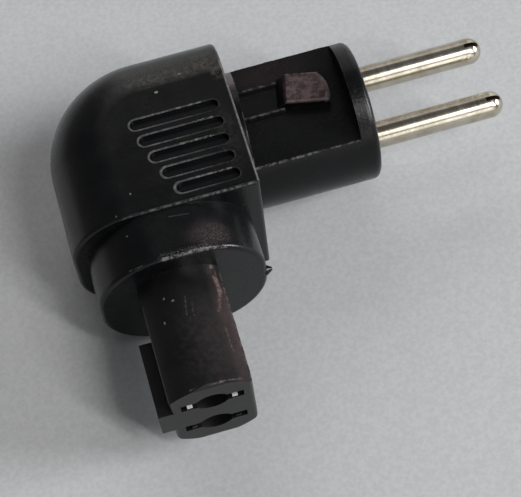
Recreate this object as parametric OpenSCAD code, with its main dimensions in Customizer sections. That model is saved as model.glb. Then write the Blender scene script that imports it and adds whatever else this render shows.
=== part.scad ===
// Right-angle two-pin speaker plug: a soft elbow moulded over a pin moulding and a keyed socket stem.
// The origin is the centre of the plug's front face. The pins run along +X and the socket stem along -Y.

/* [Elbow body] */
// Thickness between the two grip flats
body_t = 14.3; // [14.2:0.1:15.2]
// Radius that blends the flats into the outer sides
side_r = 5.5; // [4.6:0.1:6.4]
// Stem axis to the face that the plug leaves
reach_pin = 8.75; // [8.4:0.05:9.6]
// Stem axis to the back of the elbow
reach_back = 8.1; // [7.8:0.05:8.8]
// Plug axis to the far side of the elbow
reach_far = 8.75; // [8.4:0.05:9.4]
// Plug axis to the face that the collar stands on
reach_socket = 8.55; // [8.4:0.05:9.4]
// Outer corner radius of the elbow in plan
corner_r = 9.1; // [8.2:0.1:10.2]
// Radius on the edges of the two end faces
edge_r = 0.35; // [0.2:0.05:0.9]

/* [Collar] */
// Width of the collar
collar_w = 14.6; // [14:0.1:15]
// Height of the collar
collar_h = 13.7; // [13.2:0.1:14]
// Radius that blends the collar's top and bottom into its sides
collar_r = 6.1; // [5:0.1:6.4]
// Length of the collar beyond the elbow
collar_l = 4.6; // [3.8:0.1:5.4]
// Radius on the end edge of the collar
collar_edge_r = 0.4; // [0.2:0.05:0.8]
// Diameter of the gate vestige on the collar
gate_d = 0.95; // [0.5:0.05:0.95]
// How far the gate vestige stands out of the collar
gate_out = 0.5; // [0.3:0.05:0.8]
// Diameter of the gate vestige at its tip
gate_tip_d = 0.3; // [0.2:0.05:0.4]
// Collar end to the middle of the gate vestige
gate_inset = 0.5; // [0.5:0.05:2]
// Drop of the gate vestige below the middle of the collar
gate_drop = 0.65; // [0:0.05:1]

/* [Finger grips] */
// Number of grip slots on each flat
grip_count = 5; // [3:1:5]
// Width of a grip slot
grip_w = 1.08; // [0.8:0.02:1.3]
// Distance from slot to slot
grip_pitch = 1.78; // [1.6:0.02:1.8]
// Depth of a grip slot
grip_depth = 0.4; // [0.3:0.05:0.6]
// Plug face of the elbow to the ends of the slots
grip_margin = 1.35; // [1:0.05:2]
// Radius of the arc that the other ends of the slots follow
grip_arc_r = 29; // [24:1:40]
// Stem axis to the start of the first slot
grip_lead = 0.45; // [0:0.05:1.2]
// Lean of the arc at the first slot, in degrees
grip_lean = 11; // [6:1:14]

/* [Pin moulding] */
// Diameter of the plug moulding
plug_d = 12.5; // [11.8:0.1:12.6]
// Length of the plug moulding beyond the elbow
plug_l = 11.4; // [10.4:0.1:12.6]
// Radius on the front edge of the plug
plug_edge_r = 0.6; // [0.3:0.1:1.1]
// Length of the full round rim at the front
rim_l = 1.6; // [1.2:0.1:2.2]
// Length of the full round shoulder at the elbow, at the far side
shoulder_l = 0.8; // [0.5:0.1:1.6]
// Length of the shoulder at the near side
shoulder_near = 0.25; // [0.2:0.05:0.6]
// Distance between the plug's two flats
plug_flats = 7.1; // [6.4:0.1:8]
// Length of the plug moulding held in the elbow
plug_embed = 4.4; // [4:0.1:4.8]
// Depth of the retaining groove round the held part
groove_depth = 1.1; // [0.6:0.1:1.5]
// Length of the retaining groove
groove_l = 1.2; // [0.8:0.1:1.5]
// Elbow face to the retaining groove
groove_inset = 1.7; // [1.2:0.1:2]

/* [Polarising nub] */
// Length of the nub
nub_l = 4.7; // [3.4:0.05:5]
// Width of the nub
nub_w = 2.95; // [2.4:0.05:3.4]
// Height of the nub over the flat
nub_h = 0.85; // [0.6:0.05:1.4]
// Offset of the nub from the plug axis, to the far side
nub_offset = 1.1; // [0.8:0.05:1.4]
// Front rim to the nose of the nub
nub_gap = 1.1; // [0.9:0.05:2.2]
// Turn of the nub in plan, nose to the near side, in degrees
nub_turn = 12.5; // [0:0.5:15]
// Width over both rails
rail_spread = 3.2; // [2.6:0.05:3.4]
// Offset of the rails from the plug axis, to the far side
rail_offset = 1.25; // [1:0.05:1.6]
// Length of the slope at the back of the nub
nub_slope = 0.9; // [0.4:0.1:1.6]
// Bevel on the nose of the nub
nub_bevel = 0.25; // [0.1:0.05:0.5]
// Plan radius of the nose of the nub
nub_nose_r = 3.2; // [2.8:0.1:6]
// Offset of the nose's round from the middle of the nub, to the near side
nub_skew = 0.9; // [0:0.1:1]
// Height of the rails behind the nub
rail_h = 0.22; // [0.1:0.02:0.4]
// Width of each rail
rail_w = 0.35; // [0.2:0.05:0.6]

/* [Pins] */
// Pin diameter
pin_d = 2.4; // [2:0.05:2.6]
// Distance between the two pins
pin_pitch = 6.0; // [5.6:0.1:6.4]
// Length of a pin beyond the plug
pin_l = 12.1; // [10:0.1:14]
// Length of the tail behind the plug moulding
pin_tail = 2.0; // [1.6:0.1:2.2]
// Diameter of the pin's shank in the plug moulding
shank_d = 2.9; // [2.7:0.1:3]
// Diameter of the holding ring on the pin
ring_d = 3.6; // [3.2:0.1:4]
// Length of the holding ring
ring_l = 1.0; // [0.6:0.1:1.4]
// Plug's front face to the holding ring
ring_inset = 9.0; // [6:0.1:9.4]
// Length of the notch in the tip
notch_l = 1.6; // [1:0.1:2.2]
// Width of the notch
notch_w = 0.4; // [0.2:0.05:0.6]
// Depth of the notch
notch_depth = 0.45; // [0.2:0.05:0.6]
// Turn of the notch from the top towards the far side, in degrees
notch_turn = -5; // [-20:5:90]

/* [Socket stem] */
// Diameter of the round stem
stem_d = 9.9; // [9.4:0.1:10.2]
// Distance between the stem's two flats
stem_flats = 7.0; // [6.8:0.1:7.6]
// Length of the stem beyond the collar
stem_l = 11.1; // [10.4:0.1:12.6]
// Radius on the end edges of the stem
stem_edge_r = 0.35; // [0.15:0.05:0.6]
// Width of the key rib
key_w = 3.2; // [2.4:0.1:3.8]
// Height of the key rib over the flat
key_h = 1.1; // [0.8:0.05:1.4]
// Length of the key rib
key_l = 6.8; // [5:0.1:8]
// Length of the stem moulding held in the collar and elbow
socket_embed = 5.9; // [5.4:0.1:6.2]
// Diameter of the retaining flange
flange_d = 11.8; // [11:0.1:12.2]
// Length of the retaining flange
flange_l = 1.4; // [1:0.1:1.8]
// Collar end to the retaining flange
flange_inset = 1.4; // [1:0.1:1.8]

/* [Socket slots] */
// Distance between the two slots
slot_pitch = 4.1; // [4:0.05:4.4]
// Length of a slot
slot_l = 5.3; // [5:0.05:5.6]
// Width of a slot at its ends
slot_w = 1.0; // [0.95:0.05:1.2]
// Length of the lens-shaped middle of a slot
lens_l = 3.1; // [2.8:0.05:3.4]
// Height of the lens-shaped middle of a slot
lens_h = 2.3; // [2.1:0.05:2.5]
// Depth of a slot from the end of the stem
slot_depth = 10; // [8:0.1:10.4]

/* [Socket contacts] */
// Sheet thickness of a contact
contact_t = 0.22; // [0.16:0.02:0.26]
// Clearance between a contact and its slot
contact_gap = 0.04; // [0.02:0.01:0.08]
// End of the stem to the front edge of a contact
contact_recess = 1.2; // [0.4:0.1:1.6]
// Spread of the two locating tabs of a contact
tab_spread = 3.8; // [3.5:0.1:4.2]
// Width of a locating tab
tab_w = 0.45; // [0.3:0.05:0.6]
// End of the stem to the ends of the tabs
tab_recess = 0.1; // [0.05:0.05:0.3]
// Length of a contact's tail behind the stem moulding
contact_tail = 2.0; // [1.6:0.1:2.2]

/* [Link wires] */
// Diameter of the copper core
core_d = 1.1; // [0.8:0.05:1.2]
// Outside diameter of the insulation
sleeve_d = 1.9; // [1.6:0.05:1.9]
// Depth of the core in each solder cup
cup_depth = 1.8; // [1.2:0.1:1.9]
// Outside diameter of a contact's solder cup
cup_d = 1.9; // [1.7:0.05:2]

/* [Hidden] */
$fn = 96;
half_t = body_t / 2;
stem_x = -plug_l - reach_pin;
back_x = stem_x - reach_back;
pin_face_x = -plug_l;
collar_x = stem_x + (reach_pin - reach_back) / 2;
corner_x = back_x + corner_r;
corner_y = reach_far - corner_r;
collar_end = reach_socket + collar_l;
stem_end = collar_end + stem_l;
insert_rear_x = -plug_l - plug_embed;
pin_rear_x = insert_rear_x - pin_tail;
flat_z = plug_flats / 2;
nub_front = -rim_l - nub_gap;
nub_back = nub_front - nub_l;
rail_start = shoulder_near - plug_l;
socket_rear = collar_end - socket_embed;
cup_mouth = socket_rear - contact_tail;
slot_z = slot_pitch / 2;
bend_r = slot_z / 2;
BODY_BLACK = [0.09, 0.095, 0.1];
INSERT_BLACK = [0.13, 0.13, 0.135];
PLATED = [0.78, 0.76, 0.7];
SPRING_METAL = [0.72, 0.66, 0.5];
COPPER = [0.72, 0.4, 0.24];
INSULATION = [0.6, 0.08, 0.07];
INSULATION_NEAR = [0.1, 0.1, 0.12];

// Turns a shape drawn along +Z to run along +X, or along -Y
module along_x() { rotate([90, 0, 90]) children(); }
module along_minus_y() { rotate([90, 0, 0]) children(); }

// Rectangle from low to high with round corners at the high x end
module rounded_end(low, high, r) {
    translate(low) square([high.x - low.x - r, high.y - low.y]);
    translate([low.x, low.y + r]) square([high.x - low.x, high.y - low.y - 2 * r]);
    for (y = [low.y + r, high.y - r]) translate([high.x - r, y]) circle(r);
}

// Half section of a solid of revolution: radius r from y0 to y1, with a round edge at y1
module turned_section(r, y0, y1, edge) {
    translate([0, y0]) square([r, y1 - y0 - edge]);
    translate([0, y0]) square([r - edge, y1 - y0]);
    translate([r - edge, y1 - edge]) circle(edge);
}

// A round bar of diameter d along the stem axis, from one distance to another
module stem_bar(d, from, to) {
    translate([stem_x, -from, 0]) along_minus_y() cylinder(d = d, h = to - from);
}

// Elbow body, outside form

// Outer corner of the elbow, swept about an upright axis
module elbow_corner() {
    rotate([0, 0, 90]) rotate_extrude(angle = 90) intersection() {
        rounded_end([0, -half_t], [corner_r, half_t], side_r);
        translate([0, -half_t]) square([corner_r, body_t]);
    }
}

// An arm along +X from the corner, with a blended outer side at +Y and round edges on its end face
module arm(length) {
    blend_y = corner_r - side_r;
    blend_z = half_t - side_r;
    for (side = [1, -1]) translate([0, blend_y, side * blend_z]) along_x()
        rotate([0, 0, side > 0 ? 0 : -90]) rotate_extrude(angle = 90)
            turned_section(side_r, 0, length, edge_r);
    linear_extrude(2 * blend_z, center = true)
        rounded_end([0, blend_y - edge_r], [length, corner_r], edge_r);
    translate([0, blend_y, 0]) along_minus_y() linear_extrude(blend_y)
        rounded_end([0, -half_t], [length, half_t], edge_r);
}

// Block between the two arms, with round edges on the plug face and on the socket face
module elbow_core(wide, deep) {
    intersection() {
        along_minus_y() linear_extrude(deep) rounded_end([0, -half_t], [wide, half_t], edge_r);
        along_x() linear_extrude(wide) mirror([1, 0]) rounded_end([0, -half_t], [deep, half_t], edge_r);
        linear_extrude(body_t, center = true) rounded_end([0, -deep], [wide, edge_r], edge_r);
    }
}

module elbow_outside() {
    wide = pin_face_x - corner_x;
    deep = corner_y + reach_socket;
    translate([corner_x, corner_y, 0]) {
        elbow_corner();
        arm(wide);
        mirror([1, 0, 0]) rotate([0, 0, -90]) arm(deep);
        elbow_core(wide, deep);
    }
}

// Collar in the middle of the elbow: a slab each way and four blended corners, with round end edges
module collar() {
    from = reach_socket - edge_r;
    across = collar_w - 2 * collar_r;
    tall = collar_h - 2 * collar_r;
    translate([collar_x, 0, 0]) {
        rotate([90, 0, 90]) linear_extrude(across, center = true) mirror([1, 0])
            rounded_end([from, -collar_h / 2], [collar_end, collar_h / 2], collar_edge_r);
        linear_extrude(tall, center = true) rotate(-90)
            rounded_end([from, -collar_w / 2], [collar_end, collar_w / 2], collar_edge_r);
        for (x = [1, -1], z = [1, -1]) translate([x * across / 2, 0, z * tall / 2]) along_minus_y()
            rotate([0, 0, atan2(z, x) - 45]) rotate_extrude(angle = 90)
                turned_section(collar_r, from, collar_end, collar_edge_r);
    }
}

// Vestige of the moulding gate beside the parting line of the collar
module gate_vestige() {
    translate([collar_x + collar_w / 2 - gate_out, gate_inset - collar_end, -gate_drop]) along_x() {
        cylinder(d = gate_d, h = gate_out);
        translate([0, 0, gate_out]) cylinder(d1 = gate_d, d2 = gate_tip_d, h = gate_out);
    }
}

// Finger grips

// Start of a slot at distance y from the first one, on the arc of the slots' ends
function grip_start(y) =
    let (arc_x = grip_arc_r * cos(grip_lean), arc_y = grip_arc_r * sin(grip_lean))
    stem_x - grip_lead + arc_x - sqrt(pow(grip_arc_r, 2) - pow(y + arc_y, 2));

module grip_slots() {
    slot_end = pin_face_x - grip_margin - grip_w / 2;
    for (i = [0 : grip_count - 1]) {
        start = grip_start(i * grip_pitch) + grip_w / 2;
        translate([0, -i * grip_pitch, half_t - grip_depth]) linear_extrude(2 * grip_depth) {
            translate([start, -grip_w / 2]) square([slot_end - start, grip_w]);
            for (x = [start, slot_end]) translate([x, 0]) circle(grip_w / 2);
        }
    }
}

module elbow_body() {
    color(BODY_BLACK) difference() {
        union() {
            elbow_outside();
            collar();
            gate_vestige();
        }
        grip_slots();
        mirror([0, 0, 1]) grip_slots();
        plug_solid();
        socket_core();
        for (side = [1, -1]) {
            pin_solid(side);
            contact_cup(side);
            wire_bar(side, sleeve_d, 0);
        }
    }
}

// Pin moulding

// The round plug with its groove, before flats, nub and bores
module plug_solid() {
    difference() {
        translate([insert_rear_x, 0, 0]) along_x() rotate_extrude()
            turned_section(plug_d / 2, 0, -insert_rear_x, plug_edge_r);
        translate([-plug_l - groove_inset - groove_l, 0, 0]) along_x() difference() {
            cylinder(d = plug_d + 1, h = groove_l);
            cylinder(d = plug_d - 2 * groove_depth, h = groove_l);
        }
    }
}

// Nub that fixes which way round the plug goes in, with a sloped back and a curved nose
module nub() {
    translate([nub_front - nub_l / 2, nub_offset, flat_z]) rotate([0, 0, -nub_turn]) intersection() {
        translate([0, nub_w / 2, 0]) along_minus_y() linear_extrude(nub_w) polygon([
            [-nub_l / 2, 0], [nub_l / 2, 0], [nub_l / 2, nub_h - nub_bevel],
            [nub_l / 2 - nub_bevel, nub_h], [nub_slope - nub_l / 2, nub_h]]);
        translate([nub_l / 2 - nub_nose_r, -nub_skew, 0]) cylinder(r = nub_nose_r, h = nub_h);
    }
}

// Two low rails from the shoulder to the nub
module rails() {
    for (y = [rail_offset - rail_spread / 2, rail_offset + rail_spread / 2 - rail_w])
        translate([rail_start, y, flat_z]) cube([nub_back + rail_w - rail_start, rail_w, rail_h]);
}

// Plan of the two flats, from the rim to the shoulder, whose face leans a little
module flat_plan() {
    half = plug_d / 2;
    polygon([[shoulder_l - plug_l, half], [-rim_l, half], [-rim_l, -half], [rail_start, -half]]);
}

module pin_insert() {
    color(INSERT_BLACK) difference() {
        union() {
            difference() {
                plug_solid();
                for (side = [1, -1]) translate([0, 0, side > 0 ? flat_z : -flat_z - plug_d])
                    linear_extrude(plug_d) flat_plan();
            }
            nub();
            rails();
        }
        for (side = [1, -1]) pin_solid(side);
    }
}

// Pins

// A pin without its notch and solder cup: side 1 is the far pin, side -1 the near one
module pin_solid(side) {
    translate([0, side * pin_pitch / 2, 0]) {
        translate([pin_rear_x, 0, 0]) along_x()
            cylinder(d = pin_d, h = pin_l - pin_d / 2 - pin_rear_x);
        translate([pin_l - pin_d / 2, 0, 0]) sphere(d = pin_d);
        translate([-ring_inset, 0, 0]) along_x() cylinder(d = shank_d, h = ring_inset);
        translate([-ring_inset - ring_l, 0, 0]) along_x() cylinder(d = ring_d, h = ring_l);
    }
}

module pin(side) {
    color(PLATED) difference() {
        pin_solid(side);
        translate([pin_l - notch_l, side * pin_pitch / 2, 0]) rotate([-notch_turn, 0, 0])
            translate([0, -notch_w / 2, pin_d / 2 - notch_depth]) cube([2 * notch_l, notch_w, pin_d]);
        translate([pin_rear_x - cup_depth, side * pin_pitch / 2, 0]) along_x()
            cylinder(d = core_d, h = 2 * cup_depth);
    }
}

module pin_far() { pin(1); }
module pin_near() { pin(-1); }

// Socket stem

// Stem section, round with two flats, between two distances along the stem
module flatted_stem(from, to) {
    intersection() {
        stem_bar(stem_d, from, to);
        translate([stem_x - stem_flats / 2, -to, -stem_d / 2]) cube([stem_flats, to - from, stem_d]);
    }
}

// The held part of the stem with its flange, before the slots
module socket_core() {
    flatted_stem(socket_rear, collar_end);
    stem_bar(flange_d, collar_end - flange_inset - flange_l, collar_end - flange_inset);
}

// The part of the stem that stands out: round, with two flats, round end edges and the key rib
module socket_outside() {
    intersection() {
        flatted_stem(collar_end, stem_end);
        translate([stem_x, 0, 0]) linear_extrude(stem_d, center = true) mirror([0, 1]) rotate(90)
            rounded_end([collar_end, -stem_flats / 2], [stem_end, stem_flats / 2], stem_edge_r);
        translate([stem_x, 0, 0]) rotate([0, 90, 0]) linear_extrude(stem_d, center = true)
            mirror([0, 1]) rotate(90)
                rounded_end([collar_end, -stem_d / 2], [stem_end, stem_d / 2], stem_edge_r);
    }
    translate([stem_x - stem_flats / 2 - key_h, -stem_end, -key_w / 2])
        cube([key_h + stem_edge_r, key_l, key_w]);
}

// Lens of two arcs, l long and h high
module lens(l, h) {
    arc_r = (pow(l, 2) + pow(h, 2)) / (4 * h);
    intersection_for (side = [1, -1]) translate([0, side * (arc_r - h / 2)]) circle(arc_r);
}

// Outline of a socket slot, drawn smaller all round by inset
module slot_outline(inset) {
    square([slot_l - 2 * inset, slot_w - 2 * inset], center = true);
    lens(lens_l - 2 * inset, lens_h - 2 * inset);
}

// Extrudes an outline along the stem, at the upper (1) or lower (-1) slot, between two distances
module at_slot(side, from, to) {
    translate([stem_x, -from, side * slot_z]) along_minus_y() linear_extrude(to - from) children();
}

module socket_insert() {
    color(INSERT_BLACK) difference() {
        union() {
            socket_core();
            socket_outside();
        }
        for (side = [1, -1]) {
            at_slot(side, stem_end - slot_depth, stem_end + 1) slot_outline(0);
            contact_cup(side);
        }
    }
}

// Socket contacts

// The round tail of a contact, up to the bottom of its slot
module contact_cup(side) {
    at_slot(side, cup_mouth, stem_end - slot_depth) circle(d = cup_d);
}

module socket_contact(side) {
    slot_bottom = stem_end - slot_depth;
    front = stem_end - contact_recess;
    color(SPRING_METAL) {
        difference() {
            union() {
                contact_cup(side);
                at_slot(side, slot_bottom, front) slot_outline(contact_gap);
            }
            at_slot(side, slot_bottom + contact_t, front + 1) slot_outline(contact_gap + contact_t);
            at_slot(side, cup_mouth - 1, cup_mouth + cup_depth) circle(d = core_d);
        }
        for (x = [-1, 1]) at_slot(side, front - contact_t, stem_end - tab_recess)
            translate([x * tab_spread / 2 - tab_w / 2, -slot_w / 2 + contact_gap])
                square([tab_w, contact_t]);
    }
}

module socket_contact_upper() { socket_contact(1); }
module socket_contact_lower() { socket_contact(-1); }

// Link wires

// Corner points of a wire, with its ends drawn in from the cup bottoms by setback
function wire_points(side, setback) = [
    [pin_rear_x + cup_depth - setback, side * pin_pitch / 2, 0],
    [stem_x, side * pin_pitch / 2, 0],
    [stem_x, side * pin_pitch / 2, side * slot_z],
    [stem_x, -cup_mouth - cup_depth + setback, side * slot_z]];

// Quarter turn of a round bar at a corner, from the way into it to the way out of it
module bend(corner, into, out, d) {
    axis = cross(into, out);
    centre = corner + (out - into) * bend_r;
    multmatrix([[-out.x, into.x, axis.x, centre.x],
                [-out.y, into.y, axis.y, centre.y],
                [-out.z, into.z, axis.z, centre.z],
                [0, 0, 0, 1]])
        rotate_extrude(angle = 90) translate([bend_r, 0]) circle(d = d);
}

// Round bar from a pin's cup, up or down in two quarter turns, and along the stem to a contact's cup
module wire_bar(side, d, setback) {
    points = wire_points(side, setback);
    from_pin = [-1, 0, 0];
    rise = [0, 0, side];
    to_contact = [0, -1, 0];
    translate([stem_x + bend_r, points[0].y, 0]) along_x()
        cylinder(d = d, h = points[0].x - stem_x - bend_r);
    bend(points[1], from_pin, rise, d);
    bend(points[2], rise, to_contact, d);
    translate([stem_x, points[2].y - bend_r, points[2].z]) along_minus_y()
        cylinder(d = d, h = points[2].y - bend_r - points[3].y);
}

module wire_core(side) { color(COPPER) wire_bar(side, core_d, 0); }

module wire_sleeve(side) {
    color(side > 0 ? INSULATION : INSULATION_NEAR) difference() {
        wire_bar(side, sleeve_d, cup_depth);
        wire_bar(side, core_d, 0);
    }
}

module wire_core_far() { wire_core(1); }
module wire_core_near() { wire_core(-1); }
module wire_sleeve_far() { wire_sleeve(1); }
module wire_sleeve_near() { wire_sleeve(-1); }

elbow_body();
pin_insert();
pin_far();
pin_near();
socket_insert();
socket_contact_upper();
socket_contact_lower();
wire_core_far();
wire_core_near();
wire_sleeve_far();
wire_sleeve_near();
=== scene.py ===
"""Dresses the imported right-angle speaker plug with its finishes, fine detail, floor, light and camera.

Sizes are in metres in the part's own frame, or in millimetres where a docstring says so. The origin is the
centre of the plug's front face, the pins run along +X, the socket stem runs along -Y and +Z leaves the upper
grip flat.
"""

import logging
import math
from dataclasses import dataclass
from enum import Enum
from typing import ClassVar

import bpy
import numpy as np
from mathutils import Matrix, Vector


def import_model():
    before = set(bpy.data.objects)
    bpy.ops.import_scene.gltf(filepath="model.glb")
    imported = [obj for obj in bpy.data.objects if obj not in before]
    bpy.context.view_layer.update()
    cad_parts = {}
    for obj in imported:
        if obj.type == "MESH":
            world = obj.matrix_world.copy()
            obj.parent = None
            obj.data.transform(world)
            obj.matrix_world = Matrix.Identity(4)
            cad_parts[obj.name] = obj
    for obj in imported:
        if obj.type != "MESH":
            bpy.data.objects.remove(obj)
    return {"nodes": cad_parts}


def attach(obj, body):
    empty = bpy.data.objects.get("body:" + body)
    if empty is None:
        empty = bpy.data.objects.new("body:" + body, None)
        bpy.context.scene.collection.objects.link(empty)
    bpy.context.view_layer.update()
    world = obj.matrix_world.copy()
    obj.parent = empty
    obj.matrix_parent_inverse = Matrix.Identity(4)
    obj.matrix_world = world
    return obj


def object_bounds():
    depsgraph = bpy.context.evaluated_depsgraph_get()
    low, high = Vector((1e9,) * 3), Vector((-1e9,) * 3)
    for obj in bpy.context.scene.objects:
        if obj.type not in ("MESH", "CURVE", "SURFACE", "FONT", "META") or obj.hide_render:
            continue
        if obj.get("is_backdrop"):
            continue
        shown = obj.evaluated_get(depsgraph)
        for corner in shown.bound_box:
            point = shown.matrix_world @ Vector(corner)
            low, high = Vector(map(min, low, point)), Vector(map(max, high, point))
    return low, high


LOG = logging.getLogger("speaker_plug")
MM = 0.001
ROOT = "root"
Socket = bpy.types.NodeSocket
Sockets = dict[str, Socket]
Colour = tuple[float, float, float]
Place = tuple[float, float, float]
Pair = tuple[float, float]

# Numbers of a Mix node's sockets where it mixes colours
MIX_FACTOR = 0
MIX_FROM = 6
MIX_TO = 7
MIX_RESULT = 2


class Tree:
    """A shader node tree with short calls to add and join nodes."""

    def __init__(self, tree: bpy.types.NodeTree) -> None:
        """Keeps the tree that the nodes go into."""
        self.tree = tree
        self.material: bpy.types.Material | None = None

    @classmethod
    def of_material(cls, name: str) -> "Tree":
        """Starts a new material.

        Args:
            name: The material's name.

        Returns:
            The material's empty tree.
        """
        material = bpy.data.materials.new(name)
        material.use_nodes = True
        material.node_tree.nodes.clear()
        tree = cls(material.node_tree)
        tree.material = material
        return tree

    def finish(self, shader: bpy.types.Node) -> bpy.types.Material:
        """Joins a shader to the material's output.

        Args:
            shader: The shader node.

        Returns:
            The material.
        """
        output = self.add("ShaderNodeOutputMaterial")
        self.feed(output.inputs[0], shader.outputs[0])
        return self.material

    def feed(self, socket: Socket, value: object) -> None:
        """Links a socket to another, or sets its value.

        Args:
            socket: The input socket.
            value: An output socket, a number, a vector or a colour.
        """
        if isinstance(value, bpy.types.NodeSocket):
            self.tree.links.new(value, socket)
        elif socket.type == "RGBA" and len(value) == 3:
            socket.default_value = (*value, 1.0)
        else:
            socket.default_value = value

    def add(self, kind: str, inputs: dict[str | int, object] | None = None,
            **settings: object) -> bpy.types.Node:
        """Adds a node.

        Args:
            kind: The node's type name.
            inputs: Values or links by input name or number.
            settings: Node properties.

        Returns:
            The new node.
        """
        node = self.tree.nodes.new(kind)
        for name, value in settings.items():
            setattr(node, name, value)
        for name, value in (inputs or {}).items():
            self.feed(node.inputs[name], value)
        return node

    def math(self, operation: str, a: object, b: object = 0.0, clamp: bool = False) -> Socket:
        """Returns the output of a Math node on one or two values."""
        return self.add("ShaderNodeMath", {0: a, 1: b}, operation=operation, use_clamp=clamp).outputs[0]

    def times(self, a: object, b: object) -> Socket:
        """Returns the product of two values."""
        return self.math("MULTIPLY", a, b)

    def apart(self, a: object, b: object) -> Socket:
        """Returns how far two values are apart, whichever is the larger."""
        return self.math("ABSOLUTE", self.math("SUBTRACT", a, b))

    def vector(self, operation: str, a: object, b: object = (0.0, 0.0, 0.0)) -> bpy.types.Node:
        """Returns a Vector Math node on two vectors."""
        return self.add("ShaderNodeVectorMath", {0: a, 1: b}, operation=operation)

    def span(self, value: Socket, low: object, high: object, to: Pair = (0.0, 1.0)) -> Socket:
        """Carries a value smoothly from the span low to high over to a new span.

        Args:
            value: The value to carry over.
            low: Where the old span starts.
            high: Where the old span ends.
            to: The new span.

        Returns:
            The carried value.
        """
        node = self.add("ShaderNodeMapRange",
                        {"Value": value, "From Min": low, "From Max": high, "To Min": to[0], "To Max": to[1]},
                        interpolation_type="SMOOTHSTEP")
        return node.outputs[0]

    def blend(self, factor: object, a: object, b: object) -> Socket:
        """Goes from one colour to another.

        Args:
            factor: The share of the second colour, from 0 to 1.
            a: The first colour.
            b: The second colour.

        Returns:
            The mixed colour.
        """
        node = self.add("ShaderNodeMix", data_type="RGBA")
        for number, value in ((MIX_FACTOR, factor), (MIX_FROM, a), (MIX_TO, b)):
            self.feed(node.inputs[number], value)
        return node.outputs[MIX_RESULT]

    def place(self) -> Socket:
        """Returns the Object coordinates."""
        return self.add("ShaderNodeTexCoord").outputs["Object"]

    def noise(self, place: Socket, scale: object, detail: float = 3.0, roughness: float = 0.6) -> Socket:
        """Reads a noise at a place.

        Args:
            place: Coordinates in metres.
            scale: Cells per metre.
            detail: Number of octaves.
            roughness: Weight of the finer octaves.

        Returns:
            The noise value, about 0.5 on average.
        """
        node = self.add("ShaderNodeTexNoise", {"Vector": place, "Scale": scale, "Detail": detail,
                                               "Roughness": roughness})
        return node.outputs[0]

    def bump(self, height: Socket, depth: float, strength: float) -> Socket:
        """Turns a height into a normal.

        Args:
            height: The height, from 0 to 1.
            depth: What a height of 1 measures.
            strength: How much of the bump shows, from 0 to 1.

        Returns:
            The normal.
        """
        node = self.add("ShaderNodeBump", {"Strength": strength, "Distance": depth, "Height": height})
        return node.outputs[0]


class Effect(Enum):
    """The shader effects that more than one finish or place uses."""

    GRAIN = "moulded_grain"
    EDGE = "edge_wear"
    PATCH = "worn_or_sheen_patch"
    SCUFF_OR_PAINTED_LINE = "scuff_or_painted_line"
    RIM = "slot_rim_rub_and_highlight"


class Look(Enum):
    """How worn places and painted marks are broken up: not at all, finely uneven, in blotches or in specks.
    """

    WHOLE = "whole"
    EVEN = "Even"
    BROKEN = "Broken"
    SPECKLED = "Specks"

    def of(self, grain: Sockets) -> object:
        """Returns the break-up as an output of the grain, or 1 where there is none."""
        return 1.0 if self is Look.WHOLE else grain[self.value]


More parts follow.
